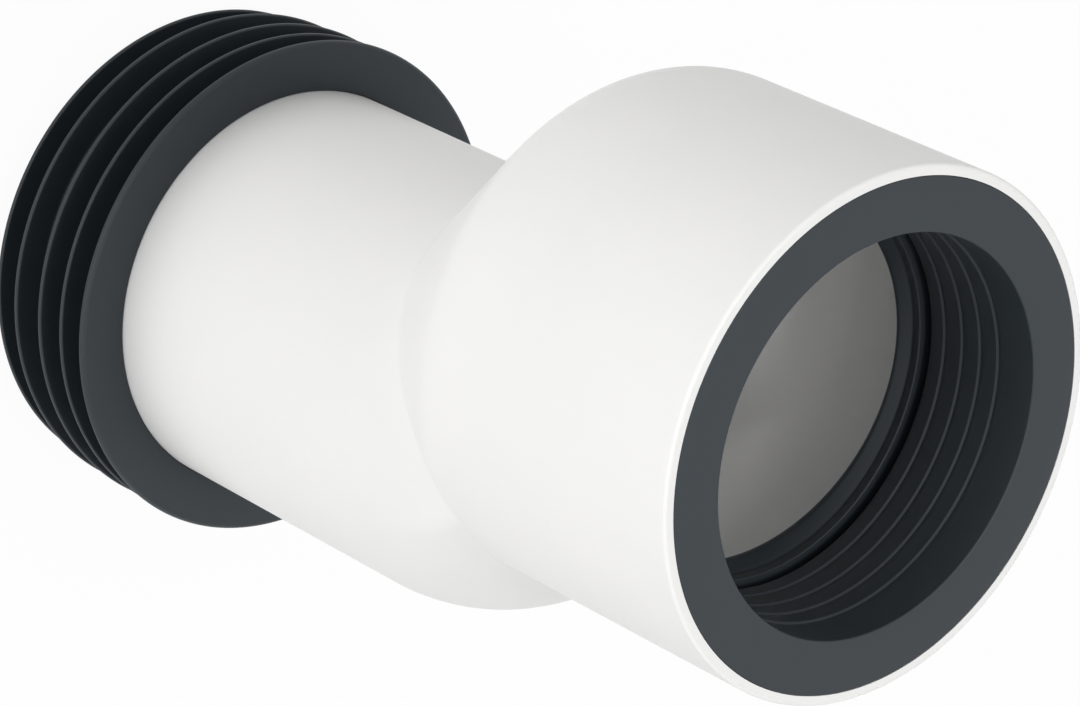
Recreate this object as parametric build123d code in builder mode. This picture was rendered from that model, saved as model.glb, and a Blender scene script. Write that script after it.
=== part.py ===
"""Offset toilet pan connector: a white moulded body, a fin seal on its outlet and a lip seal in its inlet.

It stands on its outlet end. The outlet's axis is the Z axis, the inlet socket is above it with its mouth up,
and the socket's axis lies at +X of the outlet's axis. All sizes are in millimetres.
"""
import os
from math import atan2, sin, sqrt

from build123d import *

# Main sizes
overall_length = 238.0
axis_offset = 32.0
socket_od = 118.0
spigot_od = 96.0
wall = 3.0

# Change from the socket to the spigot: a leaning shoulder on one side and a round heel on the other
shoulder_depth = 76.6
transition_length = 46.5
shoulder_round = 20.5
shoulder_end_od = 62.0
shoulder_end_inset = 2.0
heel_overlap = 0.15
heel_run_on = 1.5
heel_sections = 8

# Mouth of the socket
pocket_step = 0.6
rim_chamfer = 0.6

# Fit of the two seals on the body
seal_fit = 0.1

# Fin seal on the spigot, with heights measured up from the outlet end and reaches out from the spigot
fin_seal_length = 41.0
sleeve_wall = 3.0
end_lip = 2.5
nose_chamfer = 1.2
flange_reach = 12.0
flange_thickness = 4.0
flange_edge = 1.6
flange_chamfer = 0.6
fin_heights = (32.9, 24.5, 14.4, 5.5)
fin_reaches = (11.4, 11.4, 10.9, 9.4)
fin_tip = 1.4
fin_root = 2.6
fin_rake = 1.2

# Lip seal in the socket, with depths measured down from the mouth
lip_seal_length = 40.0
face_thickness = 4.5
skirt_wall = 2.5
inlet_bore = 88.8
lead_in = 10.2
rib_pitch = 5.4
rib_count = 4
rib_height = 0.5
notch_cut = 0.8
notch_width = 0.9
groove_depth = 30.8
groove_width = 2.4
groove_cut = 3.4
groove_back = 1.7
lip_height = 1.2
lip_bead = 2.0
lip_step = 0.4
lip_lean = 0.4
lip_length = 6.8

# Places worked out from the sizes above, as heights over the outlet end and radii
mouth_z = overall_length
transition_top = mouth_z - shoulder_depth
transition_bottom = transition_top - transition_length
socket_r = socket_od / 2
spigot_r = spigot_od / 2
pocket_r = socket_r - wall + pocket_step
inlet_r = inlet_bore / 2
socket_axis = Axis((axis_offset, 0, 0), (0, 0, 1))
socket_plane = Plane(origin=(axis_offset, 0, 0), x_dir=(1, 0, 0), z_dir=(0, -1, 0))


def heel_share(height):
    """How near the heel's circle is to the spigot's, 1, and not the socket's, 0, up its round back."""
    rise = axis_offset + spigot_r - socket_r
    turn = 2 * atan2(rise, transition_length)
    back_radius = transition_length / sin(turn)
    drop = back_radius - sqrt(back_radius**2 - height**2)
    return 1 - drop / rise


def socket_form(inset, high_end):
    """The socket with its leaning shoulder, as a solid drawn in by inset all round."""
    shoulder_end_r = shoulder_end_od / 2
    shoulder_end_x = spigot_r - shoulder_end_inset - shoulder_end_r
    with BuildPart() as form:
        with BuildSketch(Plane.XY.offset(transition_bottom)):
            with Locations((shoulder_end_x, 0)):
                Circle(shoulder_end_r - inset)
        with BuildSketch(Plane.XY.offset(transition_top)):
            with Locations((axis_offset, 0)):
                Circle(socket_r - inset)
        loft(ruled=True)
        with BuildSketch(Plane.XY.offset(transition_top)):
            with Locations((axis_offset, 0)):
                Circle(socket_r - inset)
        extrude(amount=high_end - transition_top)
        corner = form.edges().filter_by(GeomType.CIRCLE).filter_by_position(
            Axis.Z, transition_top - 0.01, transition_top + 0.01
        )
        fillet(corner, shoulder_round - inset)
    return form.part


def spigot_form(inset, low_end):
    """The spigot with its heel, as a solid drawn in by inset all round."""
    with BuildPart() as form:
        # the heel's circles run on a little past the shoulder, so that its end is inside the socket
        heel_length = transition_length + heel_run_on
        for index in range(heel_sections):
            height = heel_length * index / (heel_sections - 1)
            share = heel_share(height)
            with BuildSketch(Plane.XY.offset(transition_bottom + height)):
                with Locations((axis_offset * (1 - share), 0)):
                    Circle(socket_r - inset + (spigot_r - socket_r + heel_overlap) * share)
        loft()
        with BuildSketch(Plane.XY.offset(transition_bottom)):
            Circle(spigot_r - inset)
        extrude(amount=heel_length, mode=Mode.INTERSECT)
        with BuildSketch(Plane.XY.offset(low_end)):
            Circle(spigot_r - inset)
        extrude(amount=transition_bottom - low_end)
    return form.part


with BuildPart() as connector_body:
    add(socket_form(0, mouth_z))
    add(spigot_form(0, end_lip))
    # waterway
    add(socket_form(wall, mouth_z), mode=Mode.SUBTRACT)
    add(spigot_form(wall, end_lip), mode=Mode.SUBTRACT)
    # pocket for the lip seal, with a step at its foot that the seal stands on
    with BuildSketch(Plane.XY.offset(mouth_z)):
        with Locations((axis_offset, 0)):
            Circle(pocket_r)
    extrude(amount=-lip_seal_length, mode=Mode.SUBTRACT)
    mouth_edges = connector_body.edges().filter_by(GeomType.CIRCLE).group_by(Axis.Z)[-1]
    chamfer(mouth_edges.sort_by(SortBy.RADIUS)[-1], rim_chamfer)
connector_body.part.label = "connector_body"

with BuildPart() as outlet_fin_seal:
    sleeve_r = spigot_r + sleeve_wall
    flange_r = spigot_r + flange_reach
    with BuildSketch(Plane.XZ):
        # sleeve round the spigot, a flange that thins to its edge, and a lip turned in under the spigot's end
        with BuildLine():
            Polyline(
                (spigot_r - wall, 0),
                (sleeve_r - nose_chamfer, 0),
                (sleeve_r, nose_chamfer),
                (sleeve_r, fin_seal_length - flange_thickness),
                (flange_r, fin_seal_length - flange_edge),
                (flange_r, fin_seal_length),
                (spigot_r + seal_fit, fin_seal_length),
                (spigot_r + seal_fit, end_lip),
                (spigot_r - wall, end_lip),
                close=True,
            )
        make_face()
        # thin fins that lean back towards the flange
        for height, reach in zip(fin_heights, fin_reaches):
            fin_r = spigot_r + reach
            root_r = spigot_r + sleeve_wall / 2
            with BuildLine():
                Polyline(
                    (root_r, height - fin_rake),
                    (fin_r, height),
                    (fin_r, height - fin_tip),
                    (root_r, height - fin_rake - fin_root),
                    close=True,
                )
            make_face()
    revolve(axis=Axis.Z)
    top_edges = outlet_fin_seal.edges().filter_by(GeomType.CIRCLE).group_by(Axis.Z)[-1]
    chamfer(top_edges.sort_by(SortBy.RADIUS)[-1], flange_chamfer)
outlet_fin_seal.part.label = "outlet_fin_seal"

with BuildPart() as inlet_lip_seal:
    seal_r = pocket_r - seal_fit
    groove_r = inlet_r + groove_cut
    sleeve_back_r = groove_r + groove_back
    bead_r = inlet_r - lip_height
    lip_top = mouth_z - groove_depth - groove_width
    lip_end = lip_top - lip_length
    # ribs round the bore, each with a narrow notch on its mouth side and sloping away behind
    ribs = []
    for index in range(rib_count):
        notch_z = mouth_z - lead_in - rib_pitch * index
        ribs += [
            (inlet_r, notch_z),
            (inlet_r + notch_cut, notch_z - notch_width / 2),
            (inlet_r - rib_height, notch_z - notch_width),
        ]
    with BuildSketch(socket_plane):
        with BuildLine():
            Polyline(
                (seal_r, mouth_z),
                (inlet_r, mouth_z),
                *ribs,
                (inlet_r, mouth_z - groove_depth),
                (groove_r, mouth_z - groove_depth),
                (groove_r, lip_top),
                (bead_r, lip_top),
                (bead_r, lip_top - lip_bead),
                (bead_r - lip_step, lip_top - lip_bead - lip_step),
                (bead_r - lip_step - lip_lean, lip_end),
                (sleeve_back_r, lip_end),
                (sleeve_back_r, mouth_z - face_thickness),
                (seal_r - skirt_wall, mouth_z - face_thickness),
                (seal_r - skirt_wall, mouth_z - lip_seal_length),
                (seal_r, mouth_z - lip_seal_length),
                close=True,
            )
        make_face()
    revolve(axis=socket_axis)
inlet_lip_seal.part.label = "inlet_lip_seal"

os.makedirs("parts", exist_ok=True)
export_step(connector_body.part, "parts/connector_body.step")
export_step(outlet_fin_seal.part, "parts/outlet_fin_seal.step")
export_step(inlet_lip_seal.part, "parts/inlet_lip_seal.step")
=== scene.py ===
"""Looks of an offset toilet pan connector, laid out as an add-on and run as a script.

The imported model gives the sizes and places. Each of its three pieces is made again here as a fine mesh of
the same form, with the soft edges that moulding leaves, and gets its finish. A pale stage, soft light and a
camera follow. All lengths are in metres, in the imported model's own frame: the outlet's axis is Z and the
mouth is up.
"""
import math

import bmesh
import bpy
import numpy as np
from bpy.props import FloatProperty, FloatVectorProperty, IntProperty, PointerProperty
from bpy.types import NodeSocket, Operator, Panel, PropertyGroup
from mathutils import Matrix, Vector


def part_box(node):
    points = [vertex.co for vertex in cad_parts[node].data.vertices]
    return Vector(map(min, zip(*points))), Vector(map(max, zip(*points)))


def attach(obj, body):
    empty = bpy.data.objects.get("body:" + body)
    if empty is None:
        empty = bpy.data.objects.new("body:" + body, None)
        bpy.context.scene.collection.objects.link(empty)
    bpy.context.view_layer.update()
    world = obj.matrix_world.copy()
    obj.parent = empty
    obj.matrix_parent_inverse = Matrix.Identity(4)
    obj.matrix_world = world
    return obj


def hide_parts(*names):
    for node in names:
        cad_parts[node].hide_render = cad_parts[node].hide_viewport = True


bl_info = {
    "name": "Toilet Pan Connector",
    "version": (1, 0, 0),
    "blender": (4, 5, 0),
    "location": "3D Viewport > Sidebar > Pan Connector",
    "description": "Makes an offset toilet pan connector: moulded body, two rubber seals and a stage",
    "category": "Add Mesh",
}

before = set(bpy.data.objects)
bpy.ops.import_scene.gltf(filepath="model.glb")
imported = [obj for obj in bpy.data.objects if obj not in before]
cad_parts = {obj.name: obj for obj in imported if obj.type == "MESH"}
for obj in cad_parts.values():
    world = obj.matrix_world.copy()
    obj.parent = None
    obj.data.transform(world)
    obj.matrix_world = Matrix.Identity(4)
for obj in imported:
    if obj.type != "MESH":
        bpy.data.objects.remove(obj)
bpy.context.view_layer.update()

MM = 0.001
FULL_TURN = 2 * math.pi
WHITE = (1, 1, 1, 1)


def linear(srgb_hex):
    """The linear RGBA colour of an sRGB hex value such as #80A0C0."""
    channels = [int(srgb_hex[start:start + 2], 16) / 255 for start in (1, 3, 5)]
    return *[c / 12.92 if c <= 0.04045 else ((c + 0.055) / 1.055) ** 2.4 for c in channels], 1.0


def to_tenth(metres):
    """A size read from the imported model, to the nearest tenth of a millimetre."""
    return round(metres / MM, 1) * MM


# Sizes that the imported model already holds
body_low, body_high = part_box("connector_body")
fin_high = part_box("outlet_fin_seal")[1]
lip_low, lip_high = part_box("inlet_lip_seal")
SPIGOT_RADIUS = to_tenth(-body_low.x)
SOCKET_RADIUS = to_tenth(body_high.y)
AXIS_OFFSET = to_tenth((lip_low.x + lip_high.x) / 2)
FOOT_HEIGHT = to_tenth(body_low.z)
MOUTH_HEIGHT = to_tenth(body_high.z)
FLANGE_RADIUS = to_tenth(fin_high.y)
FLANGE_HEIGHT = to_tenth(fin_high.z)
LIP_SEAL_RADIUS = to_tenth(lip_high.y)
LIP_SEAL_FOOT = to_tenth(lip_low.z)

# Fins from the nose up to the flange: height of the upper side of the tip, and reach out from the spigot
FINS = ((5.5 * MM, 9.4 * MM), (14.4 * MM, 10.9 * MM), (24.5 * MM, 11.4 * MM), (32.9 * MM, 11.4 * MM))

# Turns from +X at which the soft flange's edge is highest and the lip's waving end is lowest
FLANGE_HIGH_TURN = math.radians(60)
LIP_LOW_TURN = math.radians(175)

# Fineness of the meshes
RING_STEPS = 288  # faces round a seal
ARC_STEP = math.radians(15)  # turn of one face on a seal's rounded edge
NO_BEND = 1e-3  # bend, in radians, under which a corner is taken as straight
RIM_STEPS = 6  # faces over the body's rounded rim
FINE_MARGIN = 14 * MM  # how far the body's fine rows run on past the shoulder, up and down
BELL_SPREADS = 3  # how far out a bell curve is followed, in spreads
SHARP_ANGLE = math.radians(40)  # turn from which an edge is shaded as sharp

# Round lamps: name, place, size across, and the setting that holds the power. All are turned to one point
LAMPS = (
    ("front_softbox", (0, 1.5, 0.2), 1.4, "front_watts"),
    ("camera_softbox", (0.8, 1.25, 0.2), 1.2, "camera_watts"),
    ("side_softbox", (-1.5, 0.3, 0.2), 1.2, "side_watts"),
    ("top_softbox", (0.1, 0, 1.73), 0.9, "top_watts"),
)
LAMP_AIM = (0, 0, 0.12)

# Small lamp inside the socket: size across, and how far it is below the lip seal
GLOW_SIZE = 60 * MM
GLOW_DROP = 24 * MM

# Floor: half its width, and how much of what the camera sees of it is plain white
FLOOR_HALF = 3.0
PLAIN_SHARE = 0.95

# Width of the camera's sensor, in millimetres as the lens is
SENSOR_WIDTH = 36.0


def length(name, description, metres):
    """A length that a user may change."""
    return FloatProperty(name=name, description=description, default=metres, unit="LENGTH", precision=5)


def power(name, description, watts):
    """A lamp's power that a user may change."""
    return FloatProperty(name=name, description=description, default=watts, unit="POWER", precision=4)


def colour(name, description, srgb_hex):
    """A colour that a user may change."""
    return FloatVectorProperty(
        name=name, description=description, default=linear(srgb_hex), size=4, min=0, max=1, subtype="COLOR"
    )


class PANCONNECTOR_PG_body(PropertyGroup):
    """Sizes of the white body"""

    wall: length("Wall", "Thickness of the body's wall", 3.0 * MM)
    shoulder_top: length("Shoulder Top", "Height of the foot of the socket's straight wall", 161.4 * MM)
    shoulder_drop: length("Shoulder Drop", "Height of the shoulder and the heel", 46.5 * MM)
    shoulder_round: length("Shoulder Round", "Radius between the shoulder and the straight wall", 20.5 * MM)
    shoulder_foot_radius: length("Shoulder Foot", "Radius of the shoulder's cone at its foot", 31.0 * MM)
    shoulder_foot_inset: length("Foot Inset", "How far inside the spigot the cone's foot is", 2.0 * MM)
    heel_overlap: length("Heel Overlap", "How much wider than the spigot the heel starts", 0.15 * MM)
    crease_softness: length("Crease Softness", "Spread of the corner of socket and spigot", 0.9 * MM)
    inner_softness: length("Inner Softness", "Spread of the same corner on the inside", 4.0 * MM)
    rim_round: length("Rim Round", "Radius of the mouth's outer edge", 0.8 * MM)
    pocket_fit: length("Pocket Fit", "Room round the lip seal in its pocket", 0.1 * MM)
    columns: IntProperty(name="Columns", description="Faces round the body", default=384, min=96, max=512)
    row_step: length("Row Step", "Height of a row of faces across the shoulder", 0.6 * MM)


class PANCONNECTOR_PG_fin_seal(PropertyGroup):
    """Sizes of the fin seal on the spigot"""

    sleeve_wall: length("Sleeve Wall", "Thickness of the sleeve round the spigot", 3.0 * MM)
    nose_round: length("Nose Round", "Radius of the sleeve's lower outer edge", 1.2 * MM)
    flange_thickness: length("Flange Thickness", "Thickness of the top flange at the sleeve", 4.0 * MM)
    flange_edge: length("Flange Edge", "Thickness of the top flange at its edge", 1.6 * MM)
    flange_round: length("Flange Round", "Radius of the flange's front edge", 1.2 * MM)
    flange_tilt: length("Flange Tilt", "How far the flange's edge stands up on its high side", 1.2 * MM)
    fin_tip: length("Fin Tip", "Thickness of a fin at its tip", 1.1 * MM)
    fin_root: length("Fin Root", "Thickness of a fin at its root", 2.6 * MM)
    fin_rake: length("Fin Rake", "How far a fin's tip leans towards the flange", 1.2 * MM)
    tip_round: length("Tip Round", "Radius of the edges of a fin's tip", 0.45 * MM)
    edge_round: length("Edge Round", "Radius of the seal's other edges", 0.3 * MM)
    root_round: length("Root Round", "Radius in the corner between a fin and the sleeve", 0.7 * MM)
    spigot_fit: length("Spigot Fit", "Room between the spigot and the sleeve", 0.1 * MM)


class PANCONNECTOR_PG_lip_seal(PropertyGroup):
    """Sizes of the lip seal in the socket"""

    face_thickness: length("Face Thickness", "Thickness of the flat front face", 4.5 * MM)
    skirt_wall: length("Skirt Wall", "Thickness of the skirt against the socket", 2.5 * MM)
    bore_radius: length("Bore", "Radius of the plain lead-in", 44.4 * MM)
    lead_in: length("Lead-in", "Depth of the plain lead-in", 10.2 * MM)
    rib_pitch: length("Rib Pitch", "Distance from one rib to the next", 5.4 * MM)
    rib_count: IntProperty(name="Ribs", description="Ribs round the bore", default=4, min=1, max=8)
    rib_height: length("Rib Height", "How far a rib stands into the bore", 0.2 * MM)
    notch_cut: length("Notch Cut", "How far the notch on a rib's mouth side cuts into the seal", 0.3 * MM)
    notch_width: length("Notch Width", "Width of that notch", 0.8 * MM)
    notch_slope: length("Notch Slope", "How far the notch's flat side runs on to the mouth", 1.2 * MM)
    groove_depth: length("Groove Depth", "Depth of the groove above the lip", 31.4 * MM)
    groove_width: length("Groove Width", "Width of that groove", 1.8 * MM)
    groove_cut: length("Groove Cut", "How far the groove cuts into the seal", 3.4 * MM)
    groove_back: length("Groove Back", "Thickness of the seal behind the groove", 1.7 * MM)
    groove_round: length("Groove Round", "Radius of the groove's upper edge", 1.0 * MM)
    lip_height: length("Lip Height", "How far the lip stands into the bore", 1.2 * MM)
    lip_bead: length("Lip Bead", "Width of the bead at the lip's front", 2.0 * MM)
    lip_step: length("Lip Step", "Step behind the bead", 0.4 * MM)
    lip_notch: length("Lip Notch", "How far the notch behind the bead cuts into the lip", 0.3 * MM)
    lip_ramp: length("Lip Ramp", "Height of the slope from that notch to the lip", 0.8 * MM)
    lip_lean: length("Lip Lean", "How far the lip leans in from its step to its end", 2.8 * MM)
    lip_round: length("Lip Round", "Radius of the lip's free end", 1.2 * MM)
    lip_length: length("Lip Length", "Length of the lip", 6.8 * MM)
    lip_wave: length("Lip Wave", "How far the soft end of the lip waves up and down", 1.2 * MM)
    edge_round: length("Edge Round", "Radius of the seal's outer edges", 0.4 * MM)


class PANCONNECTOR_PG_finish(PropertyGroup):
    """Colours of the two materials"""

    white: colour("White", "Moulded polypropylene", "#F1F0EF")
    white_cloud: colour("White Cloud", "Slightly greyer places in the polypropylene", "#ECECEB")
    anthracite: colour("Anthracite", "Moulded rubber", "#262D32")
    anthracite_cloud: colour("Anthracite Cloud", "Slightly paler places in the rubber", "#2A3136")


class PANCONNECTOR_PG_stage(PropertyGroup):
    """Camera, lights and floor"""

    camera_place: FloatVectorProperty(
        name="Camera", description="Place of the camera", size=3, subtype="TRANSLATION",
        default=(455.75 * MM, 705.70 * MM, 938.30 * MM),
    )
    camera_aim: FloatVectorProperty(
        name="Aim", description="Point that the camera looks at", size=3, subtype="TRANSLATION",
        default=(12.28 * MM, -3.36 * MM, 126.97 * MM),
    )
    camera_roll: FloatProperty(
        name="Roll", description="Turn of the camera about its own line of sight", subtype="ANGLE",
        default=math.radians(116.13),
    )
    lens: FloatProperty(name="Lens", description="Focal length of the lens", unit="CAMERA", default=175.07)
    ambient: FloatProperty(name="Ambient", description="Light from all round", default=0.44, min=0)
    front_watts: power("Front", "Power of the front lamp", 9.3)
    camera_watts: power("Camera Side", "Power of the lamp below the camera", 6.1)
    side_watts: power("Side", "Power of the side lamp", 2.5)
    top_watts: power("Top", "Power of the lamp above", 11.8)
    glow_watts: power("Glow", "Power of the small lamp inside the socket", 0.0042)
    floor_white: colour("Floor", "Pale floor", "#F2F2F2")


class PANCONNECTOR_PG_settings(PropertyGroup):
    """All settings of the pan connector"""

    body: PointerProperty(type=PANCONNECTOR_PG_body)
    fin_seal: PointerProperty(type=PANCONNECTOR_PG_fin_seal)
    lip_seal: PointerProperty(type=PANCONNECTOR_PG_lip_seal)
    finish: PointerProperty(type=PANCONNECTOR_PG_finish)
    stage: PointerProperty(type=PANCONNECTOR_PG_stage)


def add_node(tree, kind, inputs=None, **settings):
    """Add a node with its settings.

    An input, by its name or its number, is set to a value or linked from another node's output.
    """
    node = tree.nodes.new(kind)
    for name, value in settings.items():
        setattr(node, name, value)
    for name, value in (inputs or {}).items():
        if isinstance(value, NodeSocket):
            tree.links.new(value, node.inputs[name])
        else:
            node.inputs[name].default_value = value
    return node


def new_tree(material):
    """The material's emptied node tree."""
    material.use_nodes = True
    material.node_tree.nodes.clear()
    return material.node_tree


def moulded_polypropylene(finish):
    """Injection-moulded white polypropylene, from a fine-textured steel mould.

    It is a soft-looking white with a broad satin sheen. The mould leaves a faint, fine grain, and the white
    isn't quite even where the melt has flowed.
    """
    material = bpy.data.materials.new("white_polypropylene_injection_moulded")
    tree = new_tree(material)
    place = add_node(tree, "ShaderNodeTexCoord").outputs["Object"]
    # the melt's clouds are about 30 mm across
    cloud = add_node(tree, "ShaderNodeTexNoise", {"Vector": place, "Scale": 1 / (30 * MM), "Detail": 2.0})
    shade = add_node(
        tree, "ShaderNodeMix", {"Factor": cloud.outputs["Fac"], "A": finish.white, "B": finish.white_cloud},
        data_type="RGBA",
    )
    # the mould's grain is about 0.1 mm, and is drawn at 0.6 mm because it wouldn't show
    grain = add_node(tree, "ShaderNodeTexNoise", {"Vector": place, "Scale": 1 / (0.6 * MM), "Detail": 3.0})
    sheen = add_node(
        tree, "ShaderNodeMapRange", {"Value": grain.outputs["Fac"], "To Min": 0.40, "To Max": 0.50}
    )
    bump = add_node(
        tree, "ShaderNodeBump", {"Height": grain.outputs["Fac"], "Strength": 0.12, "Distance": 0.02 * MM}
    )
    plastic = add_node(
        tree, "ShaderNodeBsdfPrincipled",
        {
            "Base Color": shade.outputs["Result"], "Roughness": sheen.outputs["Result"], "IOR": 1.49,
            "Normal": bump.outputs["Normal"],
        },
    )
    add_node(tree, "ShaderNodeOutputMaterial", {"Surface": plastic.outputs["BSDF"]})
    return material


def moulded_elastomer(finish):
    """Compression-moulded anthracite elastomer, from a plain steel mould.

    It is a dark, slightly blue grey with a low sheen. The filler leaves a faint mottling in the colour and
    the sheen, and a fine grit.
    """
    material = bpy.data.materials.new("anthracite_elastomer_moulded")
    tree = new_tree(material)
    place = add_node(tree, "ShaderNodeTexCoord").outputs["Object"]
    # mottling of about 6 mm, from the filler
    mottle = add_node(tree, "ShaderNodeTexNoise", {"Vector": place, "Scale": 1 / (6 * MM), "Detail": 4.0})
    shade = add_node(
        tree, "ShaderNodeMix",
        {"Factor": mottle.outputs["Fac"], "A": finish.anthracite, "B": finish.anthracite_cloud},
        data_type="RGBA",
    )
    # the grit is about 0.05 mm, and is drawn at 0.5 mm because it wouldn't show
    grit = add_node(tree, "ShaderNodeTexNoise", {"Vector": place, "Scale": 1 / (0.5 * MM), "Detail": 3.0})
    sheen = add_node(
        tree, "ShaderNodeMapRange", {"Value": mottle.outputs["Fac"], "To Min": 0.44, "To Max": 0.54}
    )
    bump = add_node(
        tree, "ShaderNodeBump", {"Height": grit.outputs["Fac"], "Strength": 0.25, "Distance": 0.03 * MM}
    )
    rubber = add_node(
        tree, "ShaderNodeBsdfPrincipled",
        {
            "Base Color": shade.outputs["Result"], "Roughness": sheen.outputs["Result"], "IOR": 1.40,
            "Normal": bump.outputs["Normal"],
        },
    )
    add_node(tree, "ShaderNodeOutputMaterial", {"Surface": rubber.outputs["BSDF"]})
    return material


def new_piece(name, mesh, material, node):
    """Put a finished mesh in the scene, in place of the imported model's node of that name."""
    if mesh.validate():
        raise RuntimeError(f"the mesh of {name} has faults")
    mesh.shade_smooth()
    mesh.set_sharp_from_angle(angle=SHARP_ANGLE)
    mesh.materials.append(material)
    piece = bpy.data.objects.new(name, mesh)
    bpy.context.scene.collection.objects.link(piece)
    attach(piece, "root")
    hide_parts(node)


def rounded_profile(corners):
    """Points of a closed profile of (radius, height, rounding) corners, with an arc at each rounded one."""
    points = []
    for index, (radius, height, rounding) in enumerate(corners):
        corner = np.array((radius, height))
        to_last = np.array(corners[index - 1][:2]) - corner
        to_next = np.array(corners[(index + 1) % len(corners)][:2]) - corner
        to_last, to_next = to_last / np.linalg.norm(to_last), to_next / np.linalg.norm(to_next)
        bend = math.pi - math.acos(np.clip(to_last @ to_next, -1, 1))
        if rounding == 0 or bend < NO_BEND:
            points.append(corner)
            continue
        middle = to_last + to_next
        centre = corner + middle / np.linalg.norm(middle) * rounding / math.cos(bend / 2)
        start = corner + to_last * rounding * math.tan(bend / 2) - centre
        side = math.copysign(1, to_next[0] * to_last[1] - to_next[1] * to_last[0])
        for turn in np.linspace(0, bend, max(2, math.ceil(bend / ARC_STEP) + 1)):
            swing = side * turn
            points.append(centre + (
                start[0] * math.cos(swing) - start[1] * math.sin(swing),
                start[0] * math.sin(swing) + start[1] * math.cos(swing),
            ))
    return points


def turned_mesh(name, corners, axis_x):
    """A ring: a closed profile with rounded corners, turned about an upright axis."""
    shape = bmesh.new()
    ring = [shape.verts.new((axis_x + radius, 0, height)) for radius, height in rounded_profile(corners)]
    edges = [shape.edges.new((ring[index - 1], ring[index])) for index in range(len(ring))]
    bmesh.ops.spin(
        shape, geom=ring + edges, cent=(axis_x, 0, 0), axis=(0, 0, 1), angle=FULL_TURN, steps=RING_STEPS,
        use_merge=True,
    )
    bmesh.ops.recalc_face_normals(shape, faces=shape.faces)
    mesh = bpy.data.meshes.new(name)
    shape.to_mesh(mesh)
    shape.free()
    return mesh


def column_turns(body):
    """The turn of each column of points round the body."""
    return np.linspace(0, FULL_TURN, body.columns, endpoint=False)


def socket_outline(body, inset, height):
    """Points of the socket's outline at a height, drawn in by an inset, about the socket's axis.

    The socket is a straight wall, a cone that leans, and the round that a ball leaves between the two.
    """
    turn = column_turns(body)
    across, along = np.cos(turn), np.sin(turn)
    wall_radius, ball = SOCKET_RADIUS - inset, body.shoulder_round - inset
    foot_radius = body.shoulder_foot_radius - inset
    foot_x = SPIGOT_RADIUS - body.shoulder_foot_inset - body.shoulder_foot_radius - AXIS_OFFSET
    lean, spread = -foot_x / body.shoulder_drop, (wall_radius - foot_radius) / body.shoulder_drop
    climb = height - (body.shoulder_top - body.shoulder_drop)
    cone_radius = foot_radius + spread * climb
    cone_x, cone_y = foot_x + lean * climb + cone_radius * across, cone_radius * along
    # the cone's normal, and the height at which a ball against it also touches the straight wall
    slope = spread + lean * across
    steep = np.sqrt(1 + slope**2)
    normal_x, normal_y, normal_z = across / steep, along / steep, -slope / steep
    start_x = foot_x + foot_radius * across - ball * normal_x
    start_y = foot_radius * along - ball * normal_y
    step_x, step_y = lean + spread * across, spread * along
    square = step_x**2 + step_y**2
    half = start_x * step_x + start_y * step_y
    rest = start_x**2 + start_y**2 - (wall_radius - ball) ** 2
    touch = (np.sqrt(half**2 - square * rest) - half) / square
    ball_x, ball_y = start_x + step_x * touch, start_y + step_y * touch
    out_x, out_y = ball_x / (wall_radius - ball), ball_y / (wall_radius - ball)
    # share of the cone's normal and of the wall's in the direction from the ball's centre
    share = np.clip((climb - touch + ball * normal_z) / (ball * normal_z), 0, 1)
    facing = normal_x * out_x + normal_y * out_y
    rest_share = np.sqrt(1 - share**2 * (1 - facing**2)) - share * facing
    round_x = ball_x + ball * (share * normal_x + rest_share * out_x)
    round_y = ball_y + ball * (share * normal_y + rest_share * out_y)
    return np.where(climb < touch, cone_x, round_x), np.where(climb < touch, cone_y, round_y)


def circle_reach(centre_x, radius, turn):
    """Distance from the origin to a circle round (centre_x, 0), at each turn."""
    return centre_x * np.cos(turn) + np.sqrt(np.maximum(radius**2 - (centre_x * np.sin(turn)) ** 2, 0))


def spigot_reach(body, inset, height, centre_x, turn):
    """Distance from a centre out to the spigot, or to its round heel, at each turn."""
    reach = circle_reach(-centre_x, SPIGOT_RADIUS - inset, turn)
    climb = height - (body.shoulder_top - body.shoulder_drop)
    if climb <= 0:
        return reach
    # the heel's circle goes from the spigot's to the socket's along a round back
    rise = AXIS_OFFSET + SPIGOT_RADIUS - SOCKET_RADIUS
    back_radius = body.shoulder_drop / math.sin(2 * math.atan2(rise, body.shoulder_drop))
    share = 1 - (back_radius - math.sqrt(max(back_radius**2 - climb**2, 0))) / rise
    radius = SOCKET_RADIUS - inset + (SPIGOT_RADIUS - SOCKET_RADIUS + body.heel_overlap) * share
    return np.minimum(reach, circle_reach(AXIS_OFFSET * (1 - share) - centre_x, radius, turn))


def softened(field, spread, axis, edges):
    """The field averaged along an axis with a bell curve of that spread, in cells."""
    reach = math.ceil(BELL_SPREADS * spread)
    offsets = np.arange(-reach, reach + 1)
    weights = np.exp(-0.5 * (offsets / spread) ** 2)
    margin = [(0, 0), (0, 0)]
    margin[axis] = (reach, reach)
    padded = np.pad(field, margin, mode=edges)
    size = field.shape[axis]
    total = sum(w * padded.take(range(i, i + size), axis=axis) for i, w in enumerate(weights))
    return total / weights.sum()


def ring_row(radius, height, centre_x, turn):
    """A row of points round a centre, at one height."""
    x, y = centre_x + radius * np.cos(turn), radius * np.sin(turn)
    return np.stack([x, y, np.full_like(turn, height)], axis=1)


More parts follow.
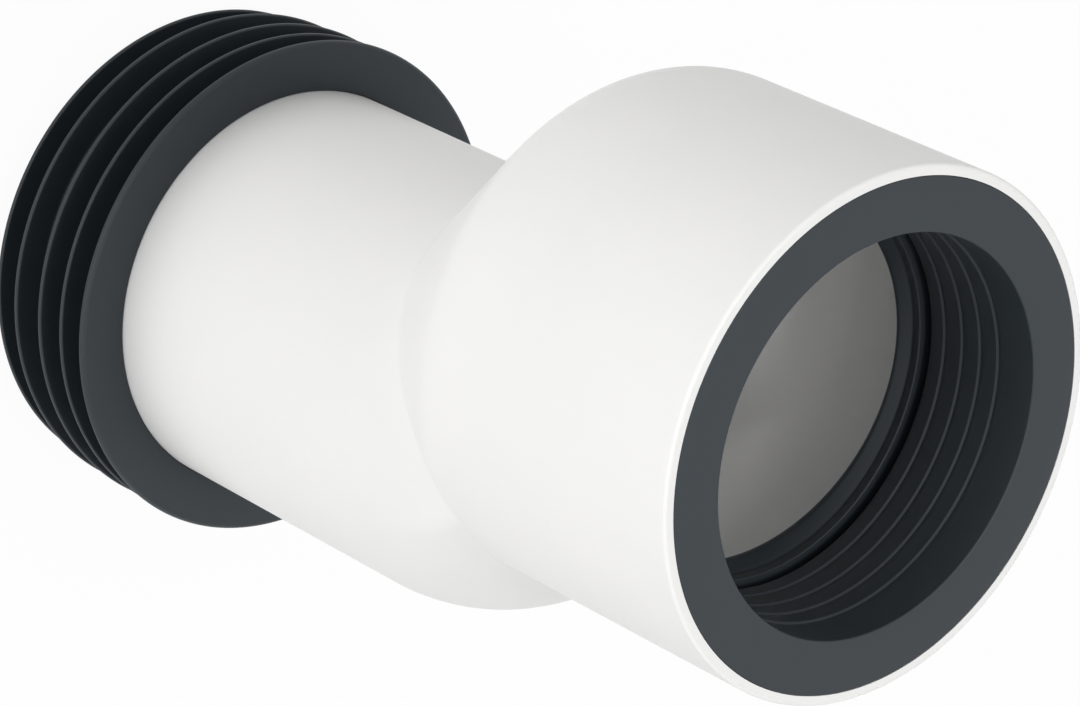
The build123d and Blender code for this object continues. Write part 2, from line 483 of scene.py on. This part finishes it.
def skin_rows(body, inset, low, high, row_step, softness):
    """Rows of points up one skin of the body, from the spigot's foot to the socket."""
    turn = column_turns(body)
    shoulder_foot = body.shoulder_top - body.shoulder_drop
    # a little above the shoulder the heel has run into the socket, whose outline is then all there is
    socket_only = body.shoulder_top + body.shoulder_round / 3
    change_low, change_high = shoulder_foot - FINE_MARGIN, body.shoulder_top + FINE_MARGIN
    heights = np.linspace(change_low, change_high, round((change_high - change_low) / row_step) + 1)
    # the rows' centre glides from the spigot's axis to the socket's
    glide = (heights - change_low) / (change_high - change_low)
    centres = AXIS_OFFSET * glide**2 * (3 - 2 * glide)
    reaches = []
    for height, centre in zip(heights, centres):
        reach = spigot_reach(body, inset, height, centre, turn)
        if height > shoulder_foot:
            x, y = socket_outline(body, inset, height)
            x = x + AXIS_OFFSET - centre
            socket = np.interp(turn, np.arctan2(y, x), np.hypot(x, y), period=FULL_TURN)
            reach = socket if height > socket_only else np.maximum(reach, socket)
        reaches.append(reach)
    reaches = softened(np.array(reaches), softness / row_step, 0, "edge")
    centres = softened(centres[:, None], softness / row_step, 0, "edge")[:, 0]
    column = SPIGOT_RADIUS * FULL_TURN / body.columns
    reaches = softened(reaches, softness / column, 1, "wrap")
    rows = [ring_row(SPIGOT_RADIUS - inset, low, 0, turn)]
    for height, centre, reach in zip(heights, centres, reaches):
        rows.append(ring_row(reach, height, centre, turn))
    rows.append(ring_row(SOCKET_RADIUS - inset, high, AXIS_OFFSET, turn))
    return rows


def body_mesh(name, body):
    """The body as one closed skin: up the outside, over the rim, down the seal's pocket and the inside."""
    turn = column_turns(body)
    pocket_radius = LIP_SEAL_RADIUS + body.pocket_fit
    edge = body.rim_round
    rows = skin_rows(body, 0, FOOT_HEIGHT, MOUTH_HEIGHT - edge, body.row_step, body.crease_softness)
    for lift in np.linspace(0, FULL_TURN / 4, RIM_STEPS + 1)[1:]:
        radius = SOCKET_RADIUS - edge * (1 - math.cos(lift))
        rows.append(ring_row(radius, MOUTH_HEIGHT - edge * (1 - math.sin(lift)), AXIS_OFFSET, turn))
    rows.append(ring_row(pocket_radius, MOUTH_HEIGHT, AXIS_OFFSET, turn))
    rows.append(ring_row(pocket_radius, LIP_SEAL_FOOT, AXIS_OFFSET, turn))
    inside = skin_rows(body, body.wall, FOOT_HEIGHT, LIP_SEAL_FOOT, 2 * body.row_step, body.inner_softness)
    rows += inside[::-1]
    points = np.concatenate(rows)
    count, columns = len(rows), body.columns
    here = np.arange(count * columns).reshape(count, columns)
    right, above = np.roll(here, -1, axis=1), np.roll(here, -1, axis=0)
    faces = np.stack([here, right, np.roll(right, -1, axis=0), above], axis=-1).reshape(-1, 4)
    mesh = bpy.data.meshes.new(name)
    mesh.from_pydata(points.tolist(), [], faces.tolist())
    return mesh


class PANCONNECTOR_OT_mould_body(Operator):
    """Make the white body: socket, leaning shoulder, round heel and spigot"""

    bl_idname = "panconnector.mould_body"
    bl_label = "Mould Body"

    def execute(self, context):
        settings = context.scene.pan_connector
        mesh = body_mesh("moulded_body", settings.body)
        new_piece("moulded_body", mesh, moulded_polypropylene(settings.finish), "connector_body")
        return {"FINISHED"}


def fin_seal_corners(seal, body):
    """Corners of the fin seal's profile: nose, fins, flange, and the lip under the spigot's end."""
    sleeve_radius = SPIGOT_RADIUS + seal.sleeve_wall
    inside_radius = SPIGOT_RADIUS - body.wall
    corners = [(inside_radius, 0, seal.edge_round), (sleeve_radius, 0, seal.nose_round)]
    for height, reach in FINS:
        # the fin's sides run on to half way through the sleeve
        run = seal.sleeve_wall / 2 / (reach - seal.sleeve_wall / 2)
        back = height - seal.fin_root - seal.fin_rake + run * (seal.fin_root + seal.fin_rake - seal.fin_tip)
        front = height - seal.fin_rake * (1 - run)
        corners += [
            (sleeve_radius, back, seal.edge_round),
            (SPIGOT_RADIUS + reach, height - seal.fin_tip, seal.tip_round),
            (SPIGOT_RADIUS + reach, height, seal.tip_round),
            (sleeve_radius, front, seal.root_round),
        ]
    corners += [
        (sleeve_radius, FLANGE_HEIGHT - seal.flange_thickness, seal.root_round),
        (FLANGE_RADIUS, FLANGE_HEIGHT - seal.flange_edge, seal.edge_round),
        (FLANGE_RADIUS, FLANGE_HEIGHT, seal.flange_round),
        (SPIGOT_RADIUS + seal.spigot_fit, FLANGE_HEIGHT, seal.edge_round),
        (SPIGOT_RADIUS + seal.spigot_fit, FOOT_HEIGHT, 0),
        (inside_radius, FOOT_HEIGHT, seal.edge_round),
    ]
    return corners


def lip_seal_corners(seal):
    """Corners of the lip seal's profile: face, lead-in, ribs, groove, lip, and the skirt."""
    groove_radius = seal.bore_radius + seal.groove_cut
    back_radius = groove_radius + seal.groove_back
    bead_radius = seal.bore_radius - seal.lip_height
    lip_radius = bead_radius - seal.lip_step
    skirt_radius = LIP_SEAL_RADIUS - seal.skirt_wall
    groove_top = MOUTH_HEIGHT - seal.groove_depth
    lip_top = groove_top - seal.groove_width
    step_top = lip_top - seal.lip_bead
    lip_end = lip_top - seal.lip_length
    face_back = MOUTH_HEIGHT - seal.face_thickness
    fine = seal.edge_round / 2
    corners = [(LIP_SEAL_RADIUS, MOUTH_HEIGHT, fine), (seal.bore_radius, MOUTH_HEIGHT, seal.edge_round)]
    for index in range(seal.rib_count):
        notch_top = MOUTH_HEIGHT - seal.lead_in - index * seal.rib_pitch
        corners += [
            (seal.bore_radius, notch_top + seal.notch_slope, fine),
            (seal.bore_radius + seal.notch_cut, notch_top - seal.notch_width / 2, 0),
            (seal.bore_radius - seal.rib_height, notch_top - seal.notch_width, fine),
        ]
    corners += [
        (seal.bore_radius, groove_top, seal.groove_round),
        (groove_radius, groove_top, seal.edge_round),
        (groove_radius, lip_top, seal.edge_round),
        (bead_radius, lip_top, seal.edge_round),
        (bead_radius, step_top, seal.edge_round),
        (bead_radius + seal.lip_notch, step_top - seal.lip_step, 0),
        (lip_radius, step_top - seal.lip_step - seal.lip_ramp, fine),
        (lip_radius - seal.lip_lean, lip_end, seal.lip_round),
        (back_radius, lip_end, seal.edge_round),
        (back_radius, face_back, seal.edge_round),
        (skirt_radius, face_back, seal.edge_round),
        (skirt_radius, LIP_SEAL_FOOT, fine),
        (LIP_SEAL_RADIUS, LIP_SEAL_FOOT, fine),
    ]
    return corners


def shift_up(mesh, axis_x, lift):
    """Move each point of a ring up by lift, which is worked out from its radius, height and turn."""
    points = np.empty(3 * len(mesh.vertices), dtype=np.float32)
    mesh.vertices.foreach_get("co", points)
    x, y, z = points.reshape(-1, 3).T
    z += lift(np.hypot(x - axis_x, y), z, np.arctan2(y, x - axis_x))
    mesh.vertices.foreach_set("co", points)


def tilt_flange(mesh, seal):
    """Let the soft flange's edge stand up on one side and hang on the other, as when pushed on by hand."""
    flange_low = FLANGE_HEIGHT - seal.flange_thickness - seal.root_round
    sleeve_radius = SPIGOT_RADIUS + seal.sleeve_wall

    def lift(radius, height, turn):
        reach = np.clip((radius - sleeve_radius) / (FLANGE_RADIUS - sleeve_radius), 0, 1)
        return seal.flange_tilt * reach * (height > flange_low) * np.cos(turn - FLANGE_HIGH_TURN)

    shift_up(mesh, 0, lift)


def wave_lip(mesh, seal):
    """Let the lip's soft free end wave up and down, twice on its way round."""
    lip_top = MOUTH_HEIGHT - seal.groove_depth - seal.groove_width
    # a tenth of its thickness behind the lip's back, so that the lip moves and the skirt doesn't
    lip_back = seal.bore_radius + seal.groove_cut + 1.1 * seal.groove_back

    def lift(radius, height, turn):
        freedom = np.clip((lip_top - height) / seal.lip_length, 0, 1) ** 2 * (radius < lip_back)
        return -seal.lip_wave * freedom * np.cos(2 * (turn - LIP_LOW_TURN))

    shift_up(mesh, AXIS_OFFSET, lift)


class PANCONNECTOR_OT_mould_seals(Operator):
    """Make the two dark seals: the fin seal on the spigot and the lip seal in the socket"""

    bl_idname = "panconnector.mould_seals"
    bl_label = "Mould Seals"

    def execute(self, context):
        settings = context.scene.pan_connector
        rubber = moulded_elastomer(settings.finish)
        mesh = turned_mesh("fin_seal", fin_seal_corners(settings.fin_seal, settings.body), 0)
        tilt_flange(mesh, settings.fin_seal)
        new_piece("fin_seal", mesh, rubber, "outlet_fin_seal")
        mesh = turned_mesh("lip_seal", lip_seal_corners(settings.lip_seal), AXIS_OFFSET)
        wave_lip(mesh, settings.lip_seal)
        new_piece("lip_seal", mesh, rubber, "inlet_lip_seal")
        return {"FINISHED"}


def seen_white(tree):
    """1 for the camera's rays, and for reflections and clear views, which all see plain white; else 0."""
    light_path = add_node(tree, "ShaderNodeLightPath").outputs
    seen = light_path["Is Camera Ray"]
    for ray in ("Is Glossy Ray", "Is Transmission Ray"):
        either = add_node(tree, "ShaderNodeMath", {0: seen, 1: light_path[ray]}, operation="MAXIMUM")
        seen = either.outputs[0]
    return seen


def light_world(scene, stage):
    """Even light from all round, seen as plain white by the camera and in reflections."""
    world = bpy.data.worlds.new("studio_white")
    world.use_nodes = True
    tree = world.node_tree
    tree.nodes.clear()
    strength = add_node(
        tree, "ShaderNodeMapRange", {"Value": seen_white(tree), "To Min": stage.ambient, "To Max": 1.0}
    )
    sky = add_node(tree, "ShaderNodeBackground", {"Color": WHITE, "Strength": strength.outputs["Result"]})
    add_node(tree, "ShaderNodeOutputWorld", {"Surface": sky.outputs["Background"]})
    scene.world = world


def matt_paper(stage):
    """Matt white paper.

    The camera sees it as almost plain white, with a twentieth of the light and shade that is on it.
    """
    material = bpy.data.materials.new("floor_matt_white_paper")
    tree = new_tree(material)
    paper = add_node(tree, "ShaderNodeBsdfDiffuse", {"Color": stage.floor_white, "Roughness": 0.5})
    plain = add_node(tree, "ShaderNodeEmission", {"Color": WHITE, "Strength": 1.0})
    share = add_node(
        tree, "ShaderNodeMapRange", {"Value": seen_white(tree), "To Min": 0.0, "To Max": PLAIN_SHARE}
    )
    mix = add_node(
        tree, "ShaderNodeMixShader",
        {"Fac": share.outputs["Result"], 1: paper.outputs["BSDF"], 2: plain.outputs["Emission"]},
    )
    add_node(tree, "ShaderNodeOutputMaterial", {"Surface": mix.outputs["Shader"]})
    return material


def lay_floor(scene, stage):
    """A wide sheet of paper, which the part stands on."""
    corners = [(x * FLOOR_HALF, y * FLOOR_HALF, 0) for x, y in ((-1, -1), (1, -1), (1, 1), (-1, 1))]
    mesh = bpy.data.meshes.new("floor")
    mesh.from_pydata(corners, [], [(0, 1, 2, 3)])
    mesh.materials.append(matt_paper(stage))
    floor = bpy.data.objects.new("floor", mesh)
    scene.collection.objects.link(floor)


def turn_to(place, aim):
    """The turn of a lamp or a camera at a place that looks at a point."""
    return (Vector(aim) - Vector(place)).to_track_quat("-Z", "Y")


def hang_lamp(scene, name, place, size, watts):
    """A round lamp that the camera doesn't see. It shines straight down until it is turned."""
    lamp = bpy.data.lights.new(name, "AREA")
    lamp.shape, lamp.size, lamp.energy = "DISK", size, watts
    holder = bpy.data.objects.new(name, lamp)
    holder.location = place
    holder.visible_camera = False
    scene.collection.objects.link(holder)
    return holder


def place_camera(scene, stage):
    """A long lens, turned about its own line of sight."""
    data = bpy.data.cameras.new("camera")
    data.lens, data.sensor_width = stage.lens, SENSOR_WIDTH
    camera = bpy.data.objects.new("camera", data)
    look = turn_to(stage.camera_place, stage.camera_aim).to_matrix()
    turn = look @ Matrix.Rotation(stage.camera_roll, 3, "Z")
    camera.matrix_world = Matrix.Translation(stage.camera_place) @ turn.to_4x4()
    scene.collection.objects.link(camera)
    scene.camera = camera


class PANCONNECTOR_OT_set_stage(Operator):
    """Make the pale floor, the soft light and the camera"""

    bl_idname = "panconnector.set_stage"
    bl_label = "Set Stage"

    def execute(self, context):
        scene, stage = context.scene, context.scene.pan_connector.stage
        scene.view_settings.view_transform = "Standard"
        light_world(scene, stage)
        lay_floor(scene, stage)
        for name, place, size, watts in LAMPS:
            lamp = hang_lamp(scene, name, place, size, getattr(stage, watts))
            lamp.rotation_euler = turn_to(place, LAMP_AIM).to_euler()
        # this one stands for the light that the thin white wall lets through, under the lip
        place = (AXIS_OFFSET, 0, LIP_SEAL_FOOT - GLOW_DROP)
        hang_lamp(scene, "wall_glow", place, GLOW_SIZE, stage.glow_watts)
        place_camera(scene, stage)
        return {"FINISHED"}


class PANCONNECTOR_PT_sidebar(Panel):
    """Settings and steps of the pan connector"""

    bl_idname = "PANCONNECTOR_PT_sidebar"
    bl_label = "Pan Connector"
    bl_space_type = "VIEW_3D"
    bl_region_type = "UI"
    bl_category = "Pan Connector"

    def draw(self, context):
        settings = context.scene.pan_connector
        for operator, groups in STEPS:
            box = self.layout.box()
            box.operator(operator.bl_idname)
            for group in groups:
                values = getattr(settings, group)
                for name in values.bl_rna.properties.keys():
                    if name not in {"rna_type", "name"}:
                        box.prop(values, name)


STEPS = (
    (PANCONNECTOR_OT_mould_body, ("body", "finish")),
    (PANCONNECTOR_OT_mould_seals, ("fin_seal", "lip_seal")),
    (PANCONNECTOR_OT_set_stage, ("stage",)),
)

CLASSES = (
    PANCONNECTOR_PG_body,
    PANCONNECTOR_PG_fin_seal,
    PANCONNECTOR_PG_lip_seal,
    PANCONNECTOR_PG_finish,
    PANCONNECTOR_PG_stage,
    PANCONNECTOR_PG_settings,
    PANCONNECTOR_OT_mould_body,
    PANCONNECTOR_OT_mould_seals,
    PANCONNECTOR_OT_set_stage,
    PANCONNECTOR_PT_sidebar,
)


def register():
    for cls in CLASSES:
        bpy.utils.register_class(cls)
    bpy.types.Scene.pan_connector = PointerProperty(type=PANCONNECTOR_PG_settings)


def unregister():
    del bpy.types.Scene.pan_connector
    for cls in reversed(CLASSES):
        bpy.utils.unregister_class(cls)


def main():
    register()
    bpy.ops.panconnector.mould_body()
    bpy.ops.panconnector.mould_seals()
    bpy.ops.panconnector.set_stage()


if __name__ == "__main__":
    main()
